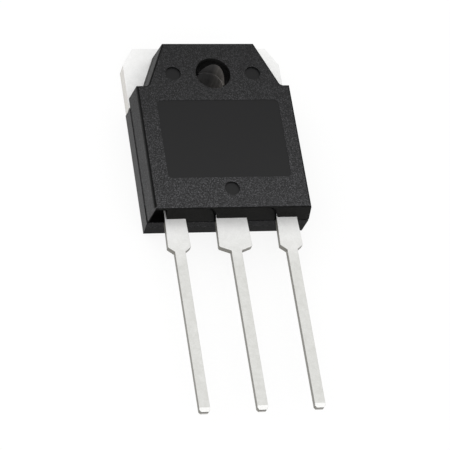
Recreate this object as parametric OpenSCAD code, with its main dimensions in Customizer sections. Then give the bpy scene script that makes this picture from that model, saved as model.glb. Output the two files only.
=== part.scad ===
// Plastic power transistor in a through-hole package with three leads.
// Frame: the origin is the centre of the mounting hole on the seating plane.
// +Z is the normal of the marked front face, +Y points to the metal tab's top edge,
// the leads run along -Y. All sizes are in millimetres.

/* [Node] */
// Which sub-part is drawn

/* [Package body] */
// Thickness from the seating plane to the front face
body_t = 4.8; // [4.6:0.05:5.0]
// Full width at the mould's parting plane
body_w = 15.82; // [15.6:0.02:16.1]
// Shift of the lower body's side walls to the left of the hole's axis
body_shift = 0.13; // [0.0:0.01:0.14]
// Height of the parting plane, where the leads leave
parting_z = 2.3; // [2.2:0.05:2.5]
// Hole centre to the lower wall at the parting plane
hole_to_bottom = 14.96; // [14.5:0.01:15.3]
// Hole centre down to the shoulders beside the head
hole_to_shoulder = 1.32; // [1.3:0.01:1.6]
// Side wall's run inwards from the parting plane to the front face
side_draft = 0.34; // [0.2:0.02:0.5]
// Side wall's run inwards from the parting plane to the seating plane
back_draft = 0.09; // [0.04:0.01:0.2]
// Lower wall's run inwards from the parting plane to the front face
bottom_draft = 0.04; // [0.03:0.01:0.25]
// Lower wall's run inwards from the parting plane to the seating plane
bottom_back_draft = 0.12; // [0.03:0.01:0.2]
// Rear half's shoulder below the hole centre at the seating plane
rear_shoulder_low = 1.75; // [1.6:0.01:2.0]
// Rear half's shoulder below the hole centre at the parting plane
rear_shoulder_high = 2.4; // [2.2:0.01:2.8]
// Radius of the rounded edge round the front face
edge_r = 0.18; // [0.1:0.02:0.24]
// Height of the witness groove along the parting plane
seam_w = 0.2; // [0.08:0.02:0.24]
// Depth of the witness groove
seam_depth = 0.08; // [0.04:0.01:0.12]

/* [Head on the tab] */
// Hole centre up to the head's top edge on the front face
hole_to_head = 3.45; // [3.3:0.01:3.6]
// Head's width along its top edge, on the front face
head_top_w = 9.1; // [8.8:0.02:9.6]
// Head's width where its slanting sides meet the shoulders
head_foot_w = 13.12; // [12.8:0.02:13.6]
// Draft of the head's walls in degrees
head_draft = 7.5; // [3:0.5:10]
// Radius in the corner between head and shoulder
shoulder_r = 0.65; // [0.4:0.05:0.8]

/* [Mounting hole] */
// Clear bore at the seating plane
hole_d = 3.2; // [3.0:0.05:3.3]
// Bore in the front mould half
hole_front_d = 3.44; // [3.4:0.02:3.6]

/* [Marks in the front face] */
// Diameter of the two ejector marks
ejector_d = 1.5; // [1.2:0.02:1.7]
// Hole centre to the ejector marks, sideways
ejector_x = 3.96; // [3.7:0.02:4.2]
// Diameter of the lower pin mark
pin_mark_d = 1.45; // [1.2:0.05:1.7]
// Hole centre down to the lower pin mark
pin_mark_y = 12.8; // [12.6:0.05:13.2]
// Depth of the pin marks
mark_depth = 0.16; // [0.08:0.02:0.3]
// Width of the polished marking field
field_w = 12.04; // [11.6:0.02:12.4]
// Hole centre down to the field's upper edge
field_top = 3.02; // [2.8:0.02:3.3]
// Hole centre down to the field's lower edge
field_bottom = 11.6; // [11.2:0.05:11.8]
// Corner radius of the field
field_r = 0.45; // [0.2:0.05:0.8]
// Depth of the field below the front face
field_depth = 0.03; // [0.02:0.01:0.06]

/* [Marks in the lower wall] */
// Land left between the gate scar and the corner of the lower wall
gate_land = 0.06; // [0.04:0.02:0.3]
// How far the gate scar reaches over the first lead's shoulder
gate_over = 0.25; // [0.1:0.05:0.5]
// Depth of the gate scar
gate_depth = 0.9; // [0.5:0.05:1.0]
// Width of the curved insert lines beside the other leads
slot_w = 0.26; // [0.12:0.02:0.3]
// Depth of the curved insert lines
slot_depth = 0.35; // [0.2:0.05:0.5]
// How far the foot of an insert line reaches over its lead's shoulder
slot_over = 0.21; // [0.02:0.01:0.25]
// How far the insert lines lean outwards over their height
slot_lean = 0.94; // [0.8:0.02:1.1]

/* [Heatsink plate] */
// Thickness of the plate
plate_t = 1.5; // [1.3:0.05:1.6]
// Width of moulding on each side of the bared pad
pad_margin = 1.08; // [0.9:0.02:1.3]
// How far each ear stays inside the moulding's full width
ear_inset = 0.02; // [0.01:0.01:0.1]
// Hole centre up to the plate's top edge
plate_top = 4.95; // [4.8:0.01:5.1]
// How far the ears reach down into the rear half
ear_bury = 0.05; // [0.02:0.01:0.1]
// Width of the ears' upper chamfers
ear_chamfer_x = 1.16; // [0.9:0.02:1.4]
// Height of the ears' upper chamfers
ear_chamfer_y = 1.88; // [1.6:0.02:2.1]
// Hole centre down to the pad's lower end
plate_end = 12.5; // [12.0:0.05:12.8]
// Hole in the plate, lined by the moulding
plate_hole_d = 5.0; // [4.6:0.1:5.4]

/* [Leads] */
// Distance between lead centres
lead_pitch = 5.45; // [5.4:0.01:5.5]
// Thickness of the leads
lead_t = 0.6; // [0.5:0.02:0.7]
// Width of a lead's end
lead_w = 1.0; // [0.9:0.02:1.1]
// Shoulder width of the outer leads
outer_shoulder_w = 2.0; // [1.8:0.05:2.2]
// Shoulder width of the middle lead
middle_shoulder_w = 3.0; // [2.8:0.05:3.2]
// Lower wall to the shoulders' end
shoulder_len = 3.08; // [2.9:0.02:3.4]
// Length of the shoulders' slope down to the lead's end width
shoulder_slope = 0.4; // [0.3:0.01:0.6]
// How far a shoulder flares out on each side towards its end
shoulder_flare = 0.1; // [0.02:0.01:0.15]
// Cut across the shoulders' lower corners
shoulder_corner = 0.1; // [0.04:0.02:0.2]
// Lower wall to the tips
lead_len = 19.92; // [19.5:0.02:20.5]
// Tip chamfer across the width
tip_chamfer_x = 0.16; // [0.1:0.02:0.3]
// Tip chamfer along the lead
tip_chamfer_y = 0.2; // [0.1:0.02:0.6]
// Thickness taken off the tips' front side
tip_bevel = 0.14; // [0.1:0.01:0.25]
// Length of the bevel on the tips' front side
tip_bevel_len = 0.4; // [0.2:0.02:0.6]

/* [Bond posts] */
// Width of the outer leads' bond posts
post_w = 3.2; // [2.8:0.1:3.6]
// Shift of the bond posts towards the middle
post_shift = 0.5; // [0.3:0.05:0.8]
// Hole centre down to the bond posts' inner edge
post_top = 11.8; // [11.4:0.05:12.2]
// Length of the bond posts
post_len = 1.7; // [1.4:0.05:1.9]

/* [Die and wires] */
// Side of the square die
die_w = 4.8; // [4.0:0.1:5.2]
// Thickness of the die
die_t = 0.3; // [0.2:0.02:0.4]
// Thickness of the solder under the die
solder_t = 0.06; // [0.04:0.01:0.1]
// Solder's overhang round the die
solder_rim = 0.15; // [0.1:0.05:0.3]
// Hole centre down to the die's centre
die_y = 7.0; // [6.6:0.1:7.4]
// Diameter of the base wire
base_wire_d = 0.2; // [0.15:0.01:0.25]
// Diameter of the emitter wire
emitter_wire_d = 0.38; // [0.3:0.01:0.4]
// Rise of a wire's arc over the line between its feet
loop_rise = 0.95; // [0.6:0.05:1.1]

/* [Hidden] */
$fn = 48;
eps = 0.01;
half_w = body_w / 2;
half_front = half_w - side_draft;
half_back = half_w - back_draft;
bottom_y = -hole_to_bottom;
bottom_front_y = bottom_y + bottom_draft;
bottom_back_y = bottom_y + bottom_back_draft;
left_front = half_front + body_shift;
shoulder_y = -hole_to_shoulder;
head_half = head_top_w / 2;
head_foot = head_foot_w / 2;
head_side = atan((head_foot - head_half) / (hole_to_head + hole_to_shoulder));
front_t = body_t - parting_z;
lead_z = parting_z;
tip_y = bottom_y - lead_len;
shoulder_end_y = bottom_y - shoulder_len;
die_z = plate_t + solder_t;
die_top = die_z + die_t;
post_z = lead_z + lead_t;
post_mid_y = -(post_top + post_len / 2);
slot_top = body_t - edge_r - eps;
slot_h = slot_top - parting_z;
ear_half = half_w - ear_inset;
plate_w = body_w - 2 * pad_margin;
ear_bottom = rear_shoulder_low + ear_bury;
foot_reach = shoulder_r * tan((90 - head_side) / 2);
foot_side_x = head_foot - foot_reach * sin(head_side);
foot_side_y = shoulder_y + foot_reach * cos(head_side);
step_y = bottom_y + lead_t + seam_depth;
far = 2 * (body_w + hole_to_bottom);

// Extrudes an outline given in (x, z) along Y, from y0 up to y1
module along_y(points, y0, y1) {
    translate([0, y1, 0]) rotate([90, 0, 0]) linear_extrude(height = y1 - y0) polygon(points);
}

// Extrudes an outline given in (y, z) along X, from x0 up to x1
module along_x(points, x0, x1) {
    translate([x0, 0, 0]) rotate([90, 0, 90]) linear_extrude(height = x1 - x0) polygon(points);
}

// One mould half of the lower body: side walls and end walls both have draft
module mould_half(z0, z1, half0, half1, top0, top1, low0, low1) {
    intersection() {
        along_y([[-half0, z0], [half0, z0], [half1, z1], [-half1, z1]], -far, 0);
        along_x([[low0, z0], [top0, z0], [top1, z1], [low1, z1]], -far, far);
    }
}

// What the rounding takes off a front edge, as (out, up) points with the edge at the origin;
// the wall below the edge leans out by lean degrees
module edge_section(lean) {
    reach = edge_r / tan((90 + lean) / 2);
    span = 2 * edge_r;
    translate([-reach, -edge_r]) difference() {
        polygon([[0, 0], [span * cos(lean), span * sin(lean)], [span * cos(lean), span], [0, span]]);
        circle(r = edge_r);
    }
}

// Rounds the straight front edge from a to b, with the block on the right of that way;
// the cut runs on over both ends
module round_edge(a, b, lean) {
    way = [b[0] - a[0], b[1] - a[1]];
    translate([a[0], a[1], body_t]) rotate([0, 0, atan2(way[1], way[0])]) translate([-edge_r, 0, 0])
        rotate([90, 0, 90]) linear_extrude(height = norm(way) + 2 * edge_r) edge_section(lean);
}

// Front mould half of the lower body, with its four front edges rounded
module front_half() {
    side_lean = atan(side_draft / front_t);
    difference() {
        mould_half(parting_z, body_t, half_w, half_front, shoulder_y, shoulder_y, bottom_y, bottom_front_y);
        round_edge([-half_front, shoulder_y], [half_front, shoulder_y], 0);
        round_edge([half_front, shoulder_y], [half_front, bottom_front_y], side_lean);
        round_edge([half_front, bottom_front_y], [-half_front, bottom_front_y], atan(bottom_draft / front_t));
        round_edge([-half_front, bottom_front_y], [-half_front, shoulder_y], side_lean);
    }
}

// Slanting side of the head: everything on the inner side of its drafted wall
module head_side_keep() {
    translate([head_half, hole_to_head, body_t]) rotate([0, 0, head_side]) rotate([0, -head_draft, 0])
        translate([-far, -far, -far]) cube([far, 2 * far, 2 * far]);
}

// Head of the moulding that stands on the tab and holds the mounting hole; it runs on into
// the lower body, below its foot
module head() {
    run = (body_t - plate_t) * tan(head_draft);
    low = -rear_shoulder_high - shoulder_r / 2;
    low_x = head_half + (hole_to_head - low) * tan(head_side);
    difference() {
        intersection() {
            along_x([[low, plate_t], [hole_to_head + run, plate_t], [hole_to_head, body_t], [low, body_t]],
                    -half_front, half_front);
            head_side_keep();
            mirror([1, 0, 0]) head_side_keep();
        }
        round_edge([-head_half, hole_to_head], [head_half, hole_to_head], head_draft);
        round_edge([head_half, hole_to_head], [low_x, low], head_draft);
        round_edge([-low_x, low], [-head_half, hole_to_head], head_draft);
    }
}

// Rounded inner corner between the head's side and the shoulder, its front edge rounded too;
// its arc is a little too wide, so that it crosses the two walls instead of just touching them
module shoulder_fillet() {
    r = shoulder_r + 2 * eps;
    inner_x = foot_side_x - shoulder_r;
    inner_y = shoulder_y - shoulder_r;
    centre = [head_foot + foot_reach, shoulder_y + shoulder_r];
    difference() {
        translate([0, 0, parting_z]) linear_extrude(height = front_t) difference() {
            polygon([[inner_x, inner_y], [centre[0], inner_y], [centre[0], shoulder_y],
                     [foot_side_x, foot_side_y], [inner_x, foot_side_y]]);
            translate(centre) circle(r = r);
        }
        translate([centre[0], centre[1], body_t]) rotate_extrude()
            translate([r, 0]) mirror([1, 0]) edge_section(0);
    }
}

// Witness groove where the two mould halves meet, down both sides and along the lower wall
module seam() {
    inner = half_w - seam_depth;
    translate([-body_shift, 0, parting_z - seam_w / 2]) linear_extrude(height = seam_w) difference() {
        square(2 * far, center = true);
        translate([-inner, bottom_y + seam_depth]) square([2 * inner, far]);
    }
}

// Curved line of the mould insert, as (x, z) points from its foot at x
function insert_line(x) = [
    [x, parting_z - seam_w / 2],
    [x - 0.13 * slot_lean, parting_z + 0.3 * slot_h],
    [x - 0.33 * slot_lean, parting_z + 0.55 * slot_h],
    [x - 0.62 * slot_lean, parting_z + 0.85 * slot_h],
    [x - slot_lean, slot_top]
];

function reversed(points) = [for (i = [len(points) - 1 : -1 : 0]) points[i]];

// Groove left by the mould insert beside a lead whose shoulder's edge is at x
module insert_slot(x) {
    line = insert_line(x + slot_over);
    outer = [for (p = line) [p[0] - slot_w, p[1]]];
    along_y(concat(line, reversed(outer)), bottom_y - far, bottom_front_y + slot_depth);
}

// Scar of the moulding gate in the lower wall's left corner
module gate_scar() {
    inner = -lead_pitch - outer_shoulder_w / 2 + gate_over;
    top_x = gate_land - left_front - side_draft * (body_t - slot_top) / front_t;
    seam_x = gate_land + seam_depth - half_w - body_shift;
    along_y([[inner, parting_z - seam_w / 2], [inner - gate_over / 2, parting_z + 0.4 * slot_h],
             [inner - 1.5 * gate_over, slot_top], [top_x, slot_top],
             [seam_x, parting_z + seam_w / 2], [seam_x, parting_z - seam_w / 2]],
            bottom_y - far, bottom_front_y + gate_depth);
}

// Field with rounded corners, for the marking
module field() {
    w = field_w / 2 - field_r;
    top = -field_top - field_r;
    low = -field_bottom + field_r;
    translate([0, 0, body_t - field_depth]) linear_extrude(height = body_t) union() {
        translate([-w, low - field_r]) square([2 * w, top - low + 2 * field_r]);
        translate([-w - field_r, low]) square([2 * w + 2 * field_r, top - low]);
        for (x = [-w, w], y = [low, top]) translate([x, y]) circle(r = field_r);
    }
}

module front_marks() {
    for (x = [-ejector_x, ejector_x])
        translate([x, 0, body_t - mark_depth]) cylinder(d = ejector_d, h = body_t);
    translate([0, -pin_mark_y, body_t - mark_depth]) cylinder(d = pin_mark_d, h = body_t);
    field();
}

module package_body() {
    color([0.11, 0.11, 0.12]) difference() {
        union() {
            translate([-body_shift, 0, 0]) {
                front_half();
                mould_half(0, parting_z, half_back, half_w, -rear_shoulder_low, -rear_shoulder_high,
                           bottom_back_y, bottom_y);
            }
            head();
            shoulder_fillet();
            mirror([1, 0, 0]) shoulder_fillet();
            cylinder(d = plate_hole_d, h = plate_t + eps);
        }
        translate([0, 0, -body_t]) cylinder(d = hole_d, h = 3 * body_t);
        translate([0, 0, parting_z]) cylinder(d = hole_front_d, h = body_t);
        front_marks();
        seam();
        gate_scar();
        insert_slot(-middle_shoulder_w / 2);
        insert_slot(lead_pitch - outer_shoulder_w / 2);
        plate_solid();
        collector_lead();
        outer_lead(-1);
        outer_lead(1);
        die_solid();
        solder_solid();
        base_wire_solid();
        emitter_wire_solid();
    }
}

// Plate outline: ears with chamfers above, the bared pad below
module plate_solid() {
    difference() {
        linear_extrude(height = plate_t) polygon([
            [-ear_half + ear_chamfer_x, plate_top], [-ear_half, plate_top - ear_chamfer_y],
            [-ear_half, -ear_bottom], [-plate_w / 2, -ear_bottom], [-plate_w / 2, -plate_end],
            [plate_w / 2, -plate_end], [plate_w / 2, -ear_bottom], [ear_half, -ear_bottom],
            [ear_half, plate_top - ear_chamfer_y], [ear_half - ear_chamfer_x, plate_top]]);
        translate([0, 0, -plate_t]) cylinder(d = plate_hole_d, h = 3 * plate_t);
    }
}

// Right half of a lead's outline from y_start to the tip: flared shoulder, slope, chamfered tip
function lead_edge(shoulder_w, y_start) = [
    [shoulder_w / 2, y_start],
    [shoulder_w / 2, bottom_y],
    [shoulder_w / 2 + shoulder_flare, shoulder_end_y + shoulder_corner],
    [shoulder_w / 2 + shoulder_flare - shoulder_corner, shoulder_end_y],
    [lead_w / 2, shoulder_end_y - shoulder_slope],
    [lead_w / 2, tip_y + tip_chamfer_y],
    [lead_w / 2 - tip_chamfer_x, tip_y]
];

function mirrored(points) = [for (p = points) [-p[0], p[1]]];

// Lead seen from the front
module lead_outline(shoulder_w, y_start) {
    edge = lead_edge(shoulder_w, y_start);
    polygon(concat(edge, reversed(mirrored(edge))));
}

// Side view of a straight lead with its bevelled tip, as (y, z) points
function lead_side(y_start) = [
    [tip_y, lead_z], [y_start, lead_z], [y_start, lead_z + lead_t],
    [tip_y + tip_bevel_len, lead_z + lead_t], [tip_y, lead_z + lead_t - tip_bevel]
];

module lead_blade(shoulder_w, y_start) {
    intersection() {
        translate([0, 0, lead_z]) linear_extrude(height = lead_t) lead_outline(shoulder_w, y_start);
        along_x(lead_side(y_start), -shoulder_w, shoulder_w);
    }
}

// Middle lead, stepped up from the plate's end to the parting plane
module collector_lead() {
    foot_y = -plate_end;
    bend_y = foot_y - lead_t / 3;
    lead_blade(middle_shoulder_w, step_y);
    along_x([[foot_y + eps, plate_t - lead_t], [foot_y + eps, plate_t], [bend_y, plate_t],
             [step_y, lead_z + lead_t], [step_y - eps, lead_z + lead_t], [step_y - eps, lead_z],
             [bend_y, plate_t - lead_t]],
            -middle_shoulder_w / 2, middle_shoulder_w / 2);
}

module heatsink_plate() {
    color([0.78, 0.79, 0.80]) union() {
        plate_solid();
        collector_lead();
    }
}

// Outer lead with its bond post, on the left (-1) or the right (1)
module outer_lead(side) {
    x = side * lead_pitch;
    union() {
        translate([x, 0, 0]) lead_blade(outer_shoulder_w, -(post_top + post_len) + eps);
        translate([x - side * post_shift - post_w / 2, -(post_top + post_len), lead_z])
            cube([post_w, post_len, lead_t]);
    }
}

module base_lead() {
    color([0.80, 0.81, 0.82]) outer_lead(-1);
}

module emitter_lead() {
    color([0.80, 0.81, 0.82]) outer_lead(1);
}

module die_solid() {
    translate([-die_w / 2, -die_y - die_w / 2, die_z]) cube([die_w, die_w, die_t]);
}

module solder_solid() {
    w = die_w + 2 * solder_rim;
    translate([-w / 2, -die_y - w / 2, plate_t]) cube([w, w, solder_t]);
}

// Bond wire in a standing plane: a wedge foot on the die, an arc and a wedge foot on the post
module bond_wire(from, to, d) {
    dx = to[0] - from[0];
    dy = to[1] - from[1];
    run = norm([dx, dy]);
    rise = to[2] - from[2];
    chord = norm([run, rise]);
    tilt = atan2(rise, run);
    loop_r = (chord * chord / 4 + loop_rise * loop_rise) / (2 * loop_rise);
    half = asin(chord / 2 / loop_r);
    foot = 2.2 * d;
    translate(from) rotate([0, 0, atan2(dy, dx)]) union() {
        translate([-foot / 2, -d * 0.6, 0]) cube([foot, 1.2 * d, 0.9 * d]);
        translate([run - foot / 2, -d * 0.6, rise]) cube([foot, 1.2 * d, 0.9 * d]);
        translate([0, 0, d * 0.6]) rotate([90, -tilt, 0])
            translate([chord / 2, -loop_r * cos(half), 0])
            rotate([0, 0, 90 - half]) rotate_extrude(angle = 2 * half) translate([loop_r, 0]) circle(d = d);
    }
}

module base_wire_solid() {
    bond_wire([-die_w / 3, -die_y - die_w / 4, die_top], [-lead_pitch + post_shift, post_mid_y, post_z],
              base_wire_d);
}

module emitter_wire_solid() {
    bond_wire([die_w / 4, -die_y - die_w / 8, die_top], [lead_pitch - post_shift, post_mid_y, post_z],
              emitter_wire_d);
}

module silicon_die() {
    color([0.35, 0.36, 0.40]) die_solid();
}

module die_solder() {
    color([0.62, 0.62, 0.60]) solder_solid();
}

module base_wire() {
    color([0.82, 0.83, 0.85]) base_wire_solid();
}

module emitter_wire() {
    color([0.82, 0.83, 0.85]) emitter_wire_solid();
}

package_body();
heatsink_plate();
base_lead();
emitter_lead();
silicon_die();
die_solder();
base_wire();
emitter_wire();
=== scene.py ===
"""Power transistor: finishes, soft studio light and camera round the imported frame."""

import logging
import math
from dataclasses import dataclass, field
from enum import Enum

import bpy
from mathutils import Matrix, Vector

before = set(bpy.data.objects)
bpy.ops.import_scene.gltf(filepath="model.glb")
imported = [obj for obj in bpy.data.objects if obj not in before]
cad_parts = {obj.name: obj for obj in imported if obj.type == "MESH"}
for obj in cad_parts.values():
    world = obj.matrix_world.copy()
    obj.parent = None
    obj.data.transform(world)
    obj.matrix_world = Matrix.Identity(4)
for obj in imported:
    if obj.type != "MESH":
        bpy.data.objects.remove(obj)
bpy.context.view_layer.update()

LOG = logging.getLogger("power_transistor")
MM = 0.001
NOISE_CELLS_PER_LUMP = 0.5
NOISE_ROUGHNESS = 0.6
EDGE_SAMPLES = 6

Feed = float | tuple | bpy.types.NodeSocket
Span = tuple[float, float]
Place = tuple[float, float, float]


def linear(hex_colour: str) -> tuple[float, float, float, float]:
    """Turns an sRGB hex colour to the linear colour that a shader takes.

    Args:
        hex_colour: Six hex digits after a hash sign.

    Returns:
        Red, green, blue and an alpha of one.
    """
    screen = [int(hex_colour[i : i + 2], 16) / 255 for i in (1, 3, 5)]
    red, green, blue = (
        v / 12.92 if v <= 0.04045 else ((v + 0.055) / 1.055) ** 2.4 for v in screen
    )
    return (red, green, blue, 1.0)


def add_node(
    tree: bpy.types.NodeTree,
    kind: str,
    feeds: dict[str | int, Feed] | None = None,
    **settings: object,
) -> bpy.types.Node:
    """Adds a node with its settings, and links or fills its inputs.

    Args:
        tree: The node tree that gets the node.
        kind: Blender's name of the node's type.
        feeds: Input name or number to a value or to the socket that feeds it.
        **settings: Properties of the node.

    Returns:
        The new node.
    """
    node = tree.nodes.new(kind)
    for name, value in settings.items():
        setattr(node, name, value)
    for key, feed in (feeds or {}).items():
        if isinstance(feed, bpy.types.NodeSocket):
            tree.links.new(feed, node.inputs[key])
        else:
            node.inputs[key].default_value = feed
    return node


def seen_directly(tree: bpy.types.NodeTree) -> bpy.types.NodeSocket:
    """Gives one for the rays that show a background: from the camera, a mirror or glass.

    Args:
        tree: The node tree that asks.

    Returns:
        The mask's socket.
    """
    ray = add_node(tree, "ShaderNodeLightPath").outputs
    seen = ray["Is Camera Ray"]
    for other in ("Is Glossy Ray", "Is Transmission Ray"):
        seen = add_node(
            tree, "ShaderNodeMath", {0: seen, 1: ray[other]}, operation="MAXIMUM"
        ).outputs[0]
    return seen


class Axis(Enum):
    """An axis of the part's frame, by its place in a vector."""

    X = 0
    Y = 1
    Z = 2


@dataclass
class Surface:
    """A material's node tree with the part's own coordinates in millimetres."""

    name: str
    material: bpy.types.Material = field(init=False)
    tree: bpy.types.NodeTree = field(init=False)
    place: bpy.types.NodeSocket = field(init=False)
    facing: bpy.types.NodeSocket = field(init=False)

    def __post_init__(self) -> None:
        """Starts the empty material and its coordinates."""
        self.material = bpy.data.materials.new(self.name)
        self.material.use_nodes = True
        self.tree = self.material.node_tree
        self.tree.nodes.clear()
        where = add_node(self.tree, "ShaderNodeTexCoord")
        scaled = add_node(
            self.tree,
            "ShaderNodeVectorMath",
            {0: where.outputs["Object"], "Scale": 1 / MM},
            operation="SCALE",
        )
        self.place = scaled.outputs["Vector"]
        self.facing = where.outputs["Normal"]

    def along(self, axis: Axis) -> bpy.types.NodeSocket:
        """Gives the place along one axis, in millimetres."""
        return add_node(self.tree, "ShaderNodeSeparateXYZ", {0: self.place}).outputs[axis.value]

    def within(
        self, value: bpy.types.NodeSocket, low: float, high: float
    ) -> bpy.types.NodeSocket:
        """Gives one where a value lies between two limits, and else nought.

        Args:
            value: The value to test.
            low: The lower limit.
            high: The upper limit.

        Returns:
            The mask's socket.
        """
        test = add_node(
            self.tree,
            "ShaderNodeMath",
            {0: value, 1: (low + high) / 2, 2: (high - low) / 2},
            operation="COMPARE",
        )
        return test.outputs[0]

    def both(self, *masks: bpy.types.NodeSocket) -> bpy.types.NodeSocket:
        """Gives the overlap of masks."""
        return self.joined("MULTIPLY", *masks)

    def either(self, *masks: bpy.types.NodeSocket) -> bpy.types.NodeSocket:
        """Gives the union of masks."""
        return self.joined("MAXIMUM", *masks)

    def joined(self, operation: str, *masks: bpy.types.NodeSocket) -> bpy.types.NodeSocket:
        """Joins masks one after the other.

        Args:
            operation: What joins two of them.
            *masks: The masks.

        Returns:
            The joined mask's socket.
        """
        whole, *rest = masks
        for mask in rest:
            whole = add_node(
                self.tree, "ShaderNodeMath", {0: whole, 1: mask}, operation=operation
            ).outputs[0]
        return whole

    def change(self, mask: bpy.types.NodeSocket, off: Feed, on: Feed) -> bpy.types.NodeSocket:
        """Changes a number under a mask.

        Args:
            mask: Where the change is.
            off: The number elsewhere.
            on: The number under the mask.

        Returns:
            The number's socket.
        """
        return add_node(
            self.tree, "ShaderNodeMapRange", {"Value": mask, "To Min": off, "To Max": on}
        ).outputs[0]

    def progress(
        self, value: bpy.types.NodeSocket, span: Span, low: Feed = 0.0, high: Feed = 1.0
    ) -> bpy.types.NodeSocket:
        """Turns how far a value has come along a span to a number.

        Args:
            value: The value.
            span: Where the span starts and where it ends.
            low: The number at the start.
            high: The number at the end.

        Returns:
            The number's socket.
        """
        return add_node(
            self.tree,
            "ShaderNodeMapRange",
            {"Value": value, 1: span[0], 2: span[1], 3: low, 4: high},
        ).outputs[0]

    def blend(self, share: Feed, low: Feed, high: Feed) -> bpy.types.NodeSocket:
        """Blends two colours.

        Args:
            share: Nought gives the low colour and one the high colour.
            low: First colour.
            high: Second colour.

        Returns:
            The blended colour's socket.
        """
        mix = add_node(
            self.tree, "ShaderNodeMix", {"Factor": share, 6: low, 7: high}, data_type="RGBA"
        )
        return mix.outputs[2]

    def grain(self, size_mm: float, detail: float = 2.0) -> bpy.types.NodeSocket:
        """Gives a random grain whose lumps measure about a size.

        Args:
            size_mm: Width of a lump in millimetres.
            detail: How many finer layers lie over it.

        Returns:
            The grain's height, from nought to one.
        """
        noise = add_node(
            self.tree,
            "ShaderNodeTexNoise",
            {
                "Vector": self.place,
                "Scale": NOISE_CELLS_PER_LUMP / size_mm,
                "Detail": detail,
                "Roughness": NOISE_ROUGHNESS,
            },
        )
        return noise.outputs[0]

    def ramp(
        self, value: bpy.types.NodeSocket, stops: list[tuple[float, tuple]]
    ) -> bpy.types.NodeSocket:
        """Turns a value to a colour.

        Args:
            value: The value, from nought to one.
            stops: Position and linear colour of each stop.

        Returns:
            The colour's socket.
        """
        node = add_node(self.tree, "ShaderNodeValToRGB", {0: value})
        elements = node.color_ramp.elements
        while len(elements) < len(stops):
            elements.new(0.5)
        for element, (position, colour) in zip(elements, stops):
            element.position = position
            element.color = colour
        return node.outputs[0]

    def relief(self, height: Feed, depth_mm: float, edge_mm: float) -> bpy.types.NodeSocket:
        """Lays a fine relief over softly rounded edges.

        Args:
            height: The relief, from nought to one.
            depth_mm: How deep the relief goes.
            edge_mm: Radius of the rounding seen along sharp edges.

        Returns:
            The surface direction's socket.
        """
        soft = add_node(
            self.tree, "ShaderNodeBevel", {"Radius": edge_mm * MM}, samples=EDGE_SAMPLES
        )
        bump = add_node(
            self.tree,
            "ShaderNodeBump",
            {"Height": height, "Distance": depth_mm * MM, "Normal": soft.outputs[0]},
        )
        return bump.outputs[0]

    def finish(self, specular: float = 0.5, **sockets: Feed) -> bpy.types.Material:
        """Adds the surface shader.

        Args:
            specular: Specular level where nothing feeds it.
            **sockets: Socket name, with underscores for spaces, to its value or feed.

        Returns:
            The finished material.
        """
        feeds = {name.replace("_", " "): feed for name, feed in sockets.items()}
        shader = add_node(self.tree, "ShaderNodeBsdfPrincipled", feeds)
        shader.inputs["Specular IOR Level"].default_value = specular
        add_node(self.tree, "ShaderNodeOutputMaterial", {"Surface": shader.outputs[0]})
        return self.material


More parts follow.
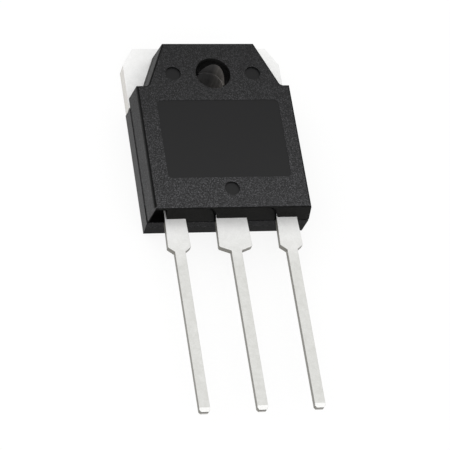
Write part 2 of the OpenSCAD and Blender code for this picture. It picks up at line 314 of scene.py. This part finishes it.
@dataclass(frozen=True)
class MouldedEpoxy:
    """Silica-filled black epoxy, moulded in a spark-eroded tool.

    The tool's texture gives the eye a dark grey surface with a fine pale speckle. The front's
    wide field and the pin marks are polished in the tool, so they are darker and smoother.
    Resin that bled into the tool's joints leaves a black line at the parting. The same black
    is painted shade along the front's edges and in the recesses and slots of the lower wall.
    The lower wall is painted darker, a painted shade, and reflects little. The hole's wall is
    painted black high up, a painted shade, and grey deeper in, a painted light. The colour is
    also painted darker towards the head and lighter towards the leads, a painted light. Spans
    are in millimetres, and spans of facing give the part of a direction that points along an
    axis.
    """

    resin: str = "#070708"
    filler: str = "#1c1c1d"
    # The palest specks are partly pale filler and partly painted glints of the tool's pits.
    glint: str = "#4c4c4e"
    polished: str = "#0f0f10"
    # Painted shade: the lower wall's front half is painted this darker colour.
    low_wall_shade: str = "#0e0e0d"
    # The black of bled resin at the parting, also used as painted shade in the recesses, along the
    # front's edges and high in the hole.
    bled: str = "#040404"
    # Painted light: the hole's wall deeper in is grey, and warmer towards its right side.
    bore_light: str = "#525151"
    bore_warm_light: str = "#b5afa9"

    # The spark pits of the tool are about this wide, and the resin copies them.
    grain_mm: float = 0.045
    grain_stops: tuple[float, float, float] = (0.36, 0.52, 0.68)
    pit_mm: float = 0.03
    polished_pits: float = 0.2
    edge_mm: float = 0.03

    matt_roughness: float = 0.55
    polished_roughness: float = 0.42

    # Painted light: the colour is painted darker towards the head and lighter towards the leads,
    # and the surface shines more towards the leads.
    fade_y_mm: Span = (3.0, -14.0)
    fade_sheen: Span = (0.2, 0.29)
    lift_gain: float = 8.0
    lift_start: float = -1.0
    # Painted shade: the lower wall's colour is scaled down by this.
    low_wall_painted_shade: float = 0.75
    dry_sheen: float = 0.04
    black_sheen: float = 0.08
    plain_sheen: float = 0.25

    field_half_mm: float = 6.1
    field_y_mm: Span = (-11.7, -2.9)
    field_z_mm: Span = (4.755, 4.785)
    mark_reach_mm: float = 4.9
    mark_y_mm: Span = (-13.7, 1.0)
    mark_z_mm: Span = (4.6, 4.66)
    # Where the black painted shade along the front's edges lies.
    rim_z_mm: Span = (4.42, 4.7985)
    rim_y_mm: Span = (-14.72, 6.0)

    low_wall_y_mm: Span = (-15.1, -14.9)
    low_front_z_mm: Span = (2.3, 5.0)
    side_seam_z_mm: Span = (2.05, 2.55)
    low_seam_z_mm: Span = (2.2, 2.42)
    seam_lump_mm: float = 0.3
    seam_wander_mm: float = 0.2
    # Where the recesses and slots are painted black, a painted shade.
    recess_y_mm: Span = (-14.9, -13.0)
    sill_z_mm: Span = (2.15, 2.25)
    slot_reach_mm: float = 7.4
    slot_y_mm: Span = (-15.1, -13.0)

    faces_sideways: float = 0.5
    faces_below: Span = (-1.1, -0.5)
    faces_square_below: Span = (-1.1, -0.9)
    faces_up: Span = (0.5, 1.1)

    bore_r_mm: float = 1.8
    bore_z_mm: Span = (-1.0, 4.75)
    # The hole's painted light starts below this sloping plane, where light coming up from the rear
    # stops.
    bore_plane: Place = (-1.07, -1.93, 1.0)
    bore_rise_mm: float = 0.12
    streak_scale: float = 4.0
    bore_warm_x_mm: Span = (0.6, 1.6)

    def seam_and_recess_shade(self, surface: Surface, z: bpy.types.NodeSocket) -> bpy.types.NodeSocket:
        """Marks the black of bled resin along the parting, and the recesses and slots, which are
        painted black as painted shade.

        Args:
            surface: The material's surface.
            z: The place along Z, in millimetres.

        Returns:
            The mask's socket.
        """
        tree = surface.tree
        wander = add_node(
            tree,
            "ShaderNodeMath",
            {0: surface.grain(self.seam_lump_mm), 1: self.seam_wander_mm, 2: z},
            operation="MULTIPLY_ADD",
        )
        ragged = add_node(
            tree,
            "ShaderNodeMath",
            {0: wander.outputs[0], 1: self.seam_wander_mm / 2},
            operation="SUBTRACT",
        ).outputs[0]
        facing = add_node(tree, "ShaderNodeSeparateXYZ", {0: surface.facing}).outputs
        sideways, lengthways, up = facing
        leaning = add_node(tree, "ShaderNodeMath", {0: sideways}, operation="ABSOLUTE")
        side = add_node(
            tree,
            "ShaderNodeMath",
            {0: leaning.outputs[0], 1: self.faces_sideways},
            operation="GREATER_THAN",
        ).outputs[0]
        below = surface.within(lengthways, *self.faces_below)
        x, y = surface.along(Axis.X), surface.along(Axis.Y)
        along_sides = surface.both(side, surface.within(ragged, *self.side_seam_z_mm))
        along_low = surface.both(below, surface.within(ragged, *self.low_seam_z_mm))
        sill = surface.both(
            surface.within(up, *self.faces_up), surface.within(z, *self.sill_z_mm)
        )
        # Painted shade: the recesses and the slots are painted black.
        recess = surface.both(
            surface.either(below, sill), surface.within(y, *self.recess_y_mm)
        )
        slot = surface.both(
            side,
            surface.within(x, -self.slot_reach_mm, self.slot_reach_mm),
            surface.within(y, *self.slot_y_mm),
        )
        return surface.either(along_sides, along_low, recess, slot)

    def in_bore(
        self, surface: Surface, flat: bpy.types.NodeSocket, z: bpy.types.NodeSocket
    ) -> bpy.types.NodeSocket:
        """Marks the hole's wall.

        Args:
            surface: The material's surface.
            flat: The place, level with the seating plane.
            z: The place along Z, in millimetres.

        Returns:
            The mask's socket.
        """
        reach = add_node(
            surface.tree, "ShaderNodeVectorMath", {0: flat}, operation="LENGTH"
        ).outputs["Value"]
        return surface.both(
            surface.within(reach, 0.0, self.bore_r_mm), surface.within(z, *self.bore_z_mm)
        )

    def bore(
        self, surface: Surface, flat: bpy.types.NodeSocket, x: bpy.types.NodeSocket
    ) -> bpy.types.NodeSocket:
        """Colours the hole's wall: black painted shade high up, streaked grey painted light lower
        down.

        Args:
            surface: The material's surface.
            flat: The place, level with the seating plane.
            x: The place along X, in millimetres.

        Returns:
            The wall's colour.
        """
        tree = surface.tree
        rise = add_node(
            tree,
            "ShaderNodeVectorMath",
            {0: surface.place, 1: self.bore_plane},
            operation="DOT_PRODUCT",
        ).outputs["Value"]
        # Painted light below the sloping plane and painted shade above it.
        deep = add_node(
            tree, "ShaderNodeMath", {0: rise, 1: self.bore_rise_mm}, operation="LESS_THAN"
        ).outputs[0]
        streak = add_node(
            tree, "ShaderNodeTexNoise", {"Vector": flat, "Scale": self.streak_scale, "Detail": 2.0}
        ).outputs[0]
        share = surface.progress(x, self.bore_warm_x_mm, 0.0, streak)
        far_tone = surface.blend(share, linear(self.bore_light), linear(self.bore_warm_light))
        return surface.blend(deep, linear(self.bled), far_tone)

    def polish(
        self,
        surface: Surface,
        x: bpy.types.NodeSocket,
        y: bpy.types.NodeSocket,
        z: bpy.types.NodeSocket,
    ) -> bpy.types.NodeSocket:
        """Marks the front's polished field and the pins' round marks.

        Args:
            surface: The material's surface.
            x: The place along X, in millimetres.
            y: The place along Y.
            z: The place along Z.

        Returns:
            The mask's socket.
        """
        wide_field = surface.both(
            surface.within(x, -self.field_half_mm, self.field_half_mm),
            surface.within(y, *self.field_y_mm),
            surface.within(z, *self.field_z_mm),
        )
        pins = surface.both(
            surface.within(x, -self.mark_reach_mm, self.mark_reach_mm),
            surface.within(y, *self.mark_y_mm),
            surface.within(z, *self.mark_z_mm),
        )
        return surface.either(wide_field, pins)

    def build(self) -> bpy.types.Material:
        """Builds the material.

        Returns:
            The finished material.
        """
        surface = Surface("moulded_epoxy")
        tree = surface.tree
        x, y, z = (surface.along(axis) for axis in Axis)
        flat = add_node(
            tree, "ShaderNodeVectorMath", {0: surface.place, 1: (1, 1, 0)}, operation="MULTIPLY"
        ).outputs[0]
        lengthways = add_node(tree, "ShaderNodeSeparateXYZ", {0: surface.facing}).outputs[1]

        smooth = self.polish(surface, x, y, z)
        textured = add_node(
            tree, "ShaderNodeMath", {0: 1.0, 1: smooth}, operation="SUBTRACT"
        ).outputs[0]
        # Painted shade: a black line along the front's edges.
        edge_shade = surface.both(
            surface.within(z, *self.rim_z_mm), surface.within(y, *self.rim_y_mm), textured
        )
        black = surface.either(self.seam_and_recess_shade(surface, z), edge_shade)
        low_wall = surface.both(
            surface.within(lengthways, *self.faces_square_below),
            surface.within(y, *self.low_wall_y_mm),
        )
        # Painted shade on the lower wall's front half.
        low_front = surface.both(low_wall, surface.within(z, *self.low_front_z_mm))
        inside = self.in_bore(surface, flat, z)

        # Painted light: darker towards the head and lighter towards the leads.
        fade = surface.progress(y, self.fade_y_mm, *self.fade_sheen)
        sheen = surface.change(surface.either(low_wall, inside), fade, self.dry_sheen)
        sheen = surface.change(black, sheen, self.black_sheen)
        painted_light = add_node(
            tree,
            "ShaderNodeMath",
            {0: fade, 1: self.lift_gain, 2: self.lift_start},
            operation="MULTIPLY_ADD",
        ).outputs[0]
        # Painted shade: the lower wall is painted darker.
        painted_light = surface.change(low_wall, painted_light, self.low_wall_painted_shade)

        shades = (self.resin, self.filler, self.glint)
        speckle = surface.ramp(
            surface.grain(self.grain_mm, 3.0),
            [(stop, linear(shade)) for stop, shade in zip(self.grain_stops, shades)],
        )
        colour = add_node(
            tree, "ShaderNodeVectorMath", {0: speckle, "Scale": painted_light}, operation="SCALE"
        ).outputs[0]
        # Painted shade on the lower wall, black seams with the painted shade of the edges and
        # recesses, the polished field, and the hole's painted light and shade.
        for mask, finish in (
            (low_front, linear(self.low_wall_shade)),
            (black, linear(self.bled)),
            (smooth, linear(self.polished)),
            (inside, self.bore(surface, flat, x)),
        ):
            colour = surface.blend(mask, colour, finish)

        pits = surface.change(smooth, 1.0, self.polished_pits)
        height = surface.both(surface.grain(self.grain_mm), pits)
        return surface.finish(
            specular=self.plain_sheen,
            Base_Color=colour,
            Roughness=surface.change(smooth, self.matt_roughness, self.polished_roughness),
            Normal=surface.relief(height, self.pit_mm, self.edge_mm),
            Specular_IOR_Level=sheen,
        )


@dataclass(frozen=True)
class TinnedCopper:
    """Copper strip, stamped to shape and then plated with matt tin.

    The plating gives the eye a pale soft grey metal with a fine even grain. It is painted
    lighter on the plate and on the leads near the moulding, a painted light, and darker
    further along the leads. The sheared sides of the leads are grey, because the fracture
    left by the stamping shows through the thin tin. The tips' sloped front faces are painted
    lighter, a painted highlight, and their cut ends show a brown burr. Resin blackens the
    sides of the leads where they leave the moulding. Spans are in millimetres, and spans
    of facing give the part of a direction that points along an axis.
    """

    # Painted light: tin and dull, on the plate and the leads near the moulding, are lighter than
    # the far tin further along the leads.
    tin: str = "#f3f3f2"
    dull: str = "#ebebea"
    far_tin: str = "#d4d4d1"
    far_tin_dull: str = "#c8c8c4"
    sheared: str = "#c9c7c3"
    fracture: str = "#77756f"
    bled: str = "#0a0a0a"
    # Painted highlight on the tips' sloped front faces.
    tip_highlight: str = "#e6e6e4"
    burr: str = "#3f3a34"
    cut: str = "#a3a19d"

    # A real tin grain is about 0.005 mm, too fine to show, so it is drawn this coarse.
    grain_mm: float = 0.07
    patch_mm: float = 0.3
    cloud_range: Span = (0.75, 1.25)
    relief_mm: float = 0.002
    edge_mm: float = 0.05
    metallic: float = 0.25
    roughness: float = 0.42

    exit_y_mm: float = -14.95
    bled_y_mm: Span = (-15.1, -13.0)
    # Where the painted light near the moulding gives way to the darker tin.
    painted_light_y_mm: Span = (-15.0, -20.0)
    tip_y_mm: float = -34.3
    burr_z_mm: float = 2.56

    faces_flat: float = 0.7
    faces_bevel: Span = (-0.6, -0.2)
    faces_end: Span = (-1.1, -0.9)

    def build(self) -> bpy.types.Material:
        """Builds the material.

        Returns:
            The finished material.
        """
        surface = Surface("tinned_copper_stamping")
        tree = surface.tree
        y, z = surface.along(Axis.Y), surface.along(Axis.Z)
        _, lengthways, up = add_node(tree, "ShaderNodeSeparateXYZ", {0: surface.facing}).outputs
        fine = surface.grain(self.grain_mm, 3.0)
        patches = surface.grain(self.patch_mm, 3.0)
        cloud = add_node(tree, "ShaderNodeMath", {0: fine, 1: patches}, operation="ADD").outputs[0]
        share = surface.progress(cloud, self.cloud_range)
        lit_tin = surface.blend(share, linear(self.dull), linear(self.tin))
        far_tone = surface.blend(share, linear(self.far_tin_dull), linear(self.far_tin))
        # Painted light: lighter on the plate and near the moulding, darker further along the
        # leads.
        face = surface.blend(surface.progress(y, self.painted_light_y_mm), lit_tin, far_tone)

        on_lead, at_tip = (
            add_node(tree, "ShaderNodeMath", {0: y, 1: limit}, operation="LESS_THAN").outputs[0]
            for limit in (self.exit_y_mm, self.tip_y_mm)
        )
        level = add_node(tree, "ShaderNodeMath", {0: up}, operation="ABSOLUTE").outputs[0]
        flat, burred = (
            add_node(
                tree, "ShaderNodeMath", {0: value, 1: limit}, operation="GREATER_THAN"
            ).outputs[0]
            for value, limit in ((level, self.faces_flat), (z, self.burr_z_mm))
        )
        side = surface.blend(on_lead, linear(self.sheared), linear(self.fracture))
        side = surface.blend(surface.within(y, *self.bled_y_mm), side, linear(self.bled))
        end = surface.blend(burred, linear(self.cut), linear(self.burr))

        colour = surface.blend(flat, side, face)
        # Painted highlight: the tips' sloped front faces are painted lighter.
        bevel = surface.both(at_tip, surface.within(lengthways, *self.faces_bevel))
        colour = surface.blend(bevel, colour, linear(self.tip_highlight))
        cut_end = surface.both(at_tip, surface.within(lengthways, *self.faces_end))
        colour = surface.blend(cut_end, colour, end)
        return surface.finish(
            Base_Color=colour,
            Metallic=self.metallic,
            Roughness=self.roughness,
            Normal=surface.relief(fine, self.relief_mm, self.edge_mm),
        )


@dataclass(frozen=True)
class PlainMetal:
    """A small sealed metal piece inside the moulding, such as drawn wire or solder.

    It gives the eye a plain metal with faint clouds of a darker shade.
    """

    name: str
    colour: str
    shade: str
    roughness: float
    grain_mm: float
    stops: Span = (0.35, 0.65)

    def build(self) -> bpy.types.Material:
        """Builds the material.

        Returns:
            The finished material.
        """
        surface = Surface(self.name)
        shades = (linear(self.shade), linear(self.colour))
        colour = surface.ramp(surface.grain(self.grain_mm), list(zip(self.stops, shades)))
        return surface.finish(Base_Color=colour, Metallic=1.0, Roughness=self.roughness)


@dataclass(frozen=True)
class SawnSilicon:
    """Polished and sawn silicon: dark blue grey with a glassy face."""

    face: str = "#4d525c"
    streak: str = "#3b4048"
    streak_mm: float = 0.4
    stops: Span = (0.4, 0.6)
    metallic: float = 0.6
    roughness: float = 0.2

    def build(self) -> bpy.types.Material:
        """Builds the material.

        Returns:
            The finished material.
        """
        surface = Surface("sawn_silicon")
        shades = (linear(self.streak), linear(self.face))
        colour = surface.ramp(surface.grain(self.streak_mm), list(zip(self.stops, shades)))
        return surface.finish(
            Base_Color=colour, Metallic=self.metallic, Roughness=self.roughness
        )


class Slot(Enum):
    """The record's material slots."""

    MOULDING = "moulding_compound"
    TINNED = "tinned_copper"
    SILICON = "silicon"
    SOLDER = "solder"
    WIRE = "bond_wire"


@dataclass
class Dressing:
    """Gives CAD nodes a finish."""

    nodes: dict[str, bpy.types.Object]

    def dress(self, name: str, slot: Slot, material: bpy.types.Material) -> None:
        """Puts a finish on one CAD node.

        Args:
            name: The node's name.
            slot: The record's material slot. It is not used.
            material: The finish.
        """
        node = self.nodes[name]
        node.data.materials.clear()
        node.data.materials.append(material)
        for face in node.data.polygons:
            face.material_index = 0
        LOG.info("%s: %s", name, material.name)


@dataclass
class SolidBody(Dressing):
    """The epoxy moulding."""

    def build(self) -> None:
        """Dresses the moulding."""
        self.dress("package_body", Slot.MOULDING, MouldedEpoxy().build())


@dataclass
class MetalWork(Dressing):
    """The heatsink plate with the middle lead, and the two outer leads."""

    def build(self) -> None:
        """Dresses the stampings."""
        tinned = TinnedCopper().build()
        for name in ("heatsink_plate", "base_lead", "emitter_lead"):
            self.dress(name, Slot.TINNED, tinned)


@dataclass
class SealedInside(Dressing):
    """The die, its solder and the bond wires."""

    solder: PlainMetal = PlainMetal("reflowed_solder", "#9c9c98", "#84847f", 0.45, 0.3)
    wire: PlainMetal = PlainMetal("drawn_aluminium_wire", "#d3d5d8", "#b9bbbe", 0.3, 0.1)

    def build(self) -> None:
        """Dresses the sealed pieces."""
        self.dress("silicon_die", Slot.SILICON, SawnSilicon().build())
        self.dress("die_solder", Slot.SOLDER, self.solder.build())
        wire = self.wire.build()
        for name in ("base_wire", "emitter_wire"):
            self.dress(name, Slot.WIRE, wire)


@dataclass(frozen=True)
class PhotoCamera:
    """The camera's place and lens, fitted to the photograph.

    Angles are in degrees round the part's front face; lengths are in millimetres, and the
    focal length is in pixels of the picture.
    """

    turn: float = -17.2495
    climb: float = -28.0515
    roll: float = -9.4504
    focal_px: float = 2597.41
    picture_px: float = 450.0
    sensor: float = 36.0
    distance: float = 245.225
    shift: Span = (0.49227, 0.37326)
    target: Place = (0.0, -15.0, 2.4)
    clip_m: Span = (0.01, 10.0)

    def build(self) -> None:
        """Makes the camera and makes it the scene's own."""
        turn, climb, roll = (math.radians(v) for v in (self.turn, self.climb, self.roll))
        back = Vector(
            (math.sin(turn) * math.cos(climb), math.sin(climb), math.cos(turn) * math.cos(climb))
        )
        side = Vector((0, 1, 0)).cross(back).normalized()
        over = back.cross(side)
        right = math.cos(roll) * side + math.sin(roll) * over
        up = -math.sin(roll) * side + math.cos(roll) * over
        turned = Matrix((right, up, back)).transposed()
        offset = Vector((-self.shift[0], -self.shift[1], self.distance))
        eye = turned @ offset + Vector(self.target)
        lens = bpy.data.cameras.new("photo_camera")
        lens.sensor_width = self.sensor
        lens.lens = self.focal_px / self.picture_px * self.sensor
        lens.clip_start, lens.clip_end = self.clip_m
        camera = bpy.data.objects.new("photo_camera", lens)
        camera.matrix_world = Matrix.Translation(eye * MM) @ turned.to_4x4()
        bpy.context.scene.collection.objects.link(camera)
        bpy.context.scene.camera = camera
        LOG.info("camera: lens %.0f mm", lens.lens)


@dataclass(frozen=True)
class SoftPanel:
    """A square soft light that faces the part, in metres.

    Its glow is its radiance, where a glow of one shows white in a mirror.
    """

    name: str
    place: Place
    size: float
    glow: float
    target: Place = (0.0, -0.015, 0.0)

    def hang(self) -> None:
        """Hangs the light."""
        light = bpy.data.lights.new(self.name, "AREA")
        light.shape = "SQUARE"
        light.size = self.size
        light.energy = self.glow * math.pi * self.size**2
        lamp = bpy.data.objects.new(self.name, light)
        lamp.location = self.place
        lamp.rotation_mode = "QUATERNION"
        aim = Vector(self.target) - Vector(self.place)
        lamp.rotation_quaternion = aim.to_track_quat("-Z", "Y")
        bpy.context.scene.collection.objects.link(lamp)


@dataclass
class Studio:
    """A pale floor, soft light from overhead, and a panel behind and one in front.

    The floor and the surround show white to the camera, to mirrors and to glass. The part
    itself is lit by the dimmer surround and the panels, and the floor keeps its shadow.
    """

    floor_colour: str = "#f7f7f6"
    floor_half: float = 1.5
    floor_drop_mm: float = 0.02
    floor_glow: float = 0.85
    sky: Span = (0.12, 1.0)
    sky_slope: Span = (-0.35, 0.65)
    bright_side: Place = (-0.25, 0.2, 0.95)
    panels: tuple[SoftPanel, ...] = (
        SoftPanel("key_panel", (-0.6, 0.3, 0.7), 0.8, 0.9),
        SoftPanel("front_panel", (0.05, -0.75, 0.65), 1.0, 1.1),
    )

    def floor(self) -> None:
        """Makes the floor that the part lies on."""
        half = self.floor_half
        corners = [(-half, -half, 0), (half, -half, 0), (half, half, 0), (-half, half, 0)]
        mesh = bpy.data.meshes.new("floor")
        mesh.from_pydata(corners, [], [(0, 1, 2, 3)])
        floor = bpy.data.objects.new("floor", mesh)
        floor.location.z = -self.floor_drop_mm * MM
        bpy.context.scene.collection.objects.link(floor)
        surface = Surface("pale_floor")
        tree = surface.tree
        diffuse = add_node(tree, "ShaderNodeBsdfDiffuse", {"Color": linear(self.floor_colour)})
        glow = add_node(tree, "ShaderNodeEmission", {"Color": (1, 1, 1, 1), "Strength": 1.0})
        share = add_node(
            tree,
            "ShaderNodeMath",
            {0: seen_directly(tree), 1: self.floor_glow},
            operation="MULTIPLY",
        )
        mix = add_node(
            tree,
            "ShaderNodeMixShader",
            {0: share.outputs[0], 1: diffuse.outputs[0], 2: glow.outputs[0]},
        )
        add_node(tree, "ShaderNodeOutputMaterial", {"Surface": mix.outputs[0]})
        mesh.materials.append(surface.material)

    def surround(self) -> None:
        """Makes the surround, which is brightest overhead."""
        world = bpy.data.worlds.new("surround")
        bpy.context.scene.world = world
        world.use_nodes = True
        tree = world.node_tree
        tree.nodes.clear()
        where = add_node(tree, "ShaderNodeTexCoord")
        slope = add_node(
            tree,
            "ShaderNodeVectorMath",
            {0: where.outputs["Generated"], 1: Vector(self.bright_side).normalized()},
            operation="DOT_PRODUCT",
        ).outputs["Value"]
        (start, end), (low, high) = self.sky_slope, self.sky
        strength = add_node(
            tree,
            "ShaderNodeMapRange",
            {"Value": slope, 1: start, 2: end, 3: low, 4: high},
            interpolation_type="SMOOTHSTEP",
        ).outputs[0]
        lit, shown = (
            add_node(
                tree, "ShaderNodeBackground", {"Color": (1, 1, 1, 1), "Strength": level}
            ).outputs[0]
            for level in (strength, 1.0)
        )
        mix = add_node(tree, "ShaderNodeMixShader", {0: seen_directly(tree), 1: lit, 2: shown})
        add_node(tree, "ShaderNodeOutputWorld", {"Surface": mix.outputs[0]})

    def build(self) -> None:
        """Sets up the floor, the panels and the surround."""
        self.floor()
        for panel in self.panels:
            panel.hang()
        self.surround()
        LOG.info("studio: floor, surround and %d panels", len(self.panels))


def main() -> None:
    """Builds everything in order."""
    logging.basicConfig(level=logging.INFO, format="%(message)s")
    bpy.context.scene.view_settings.view_transform = "Standard"
    for group in (SolidBody, MetalWork, SealedInside):
        group(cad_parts).build()
    Studio().build()
    PhotoCamera().build()


if __name__ == "__main__":
    main()
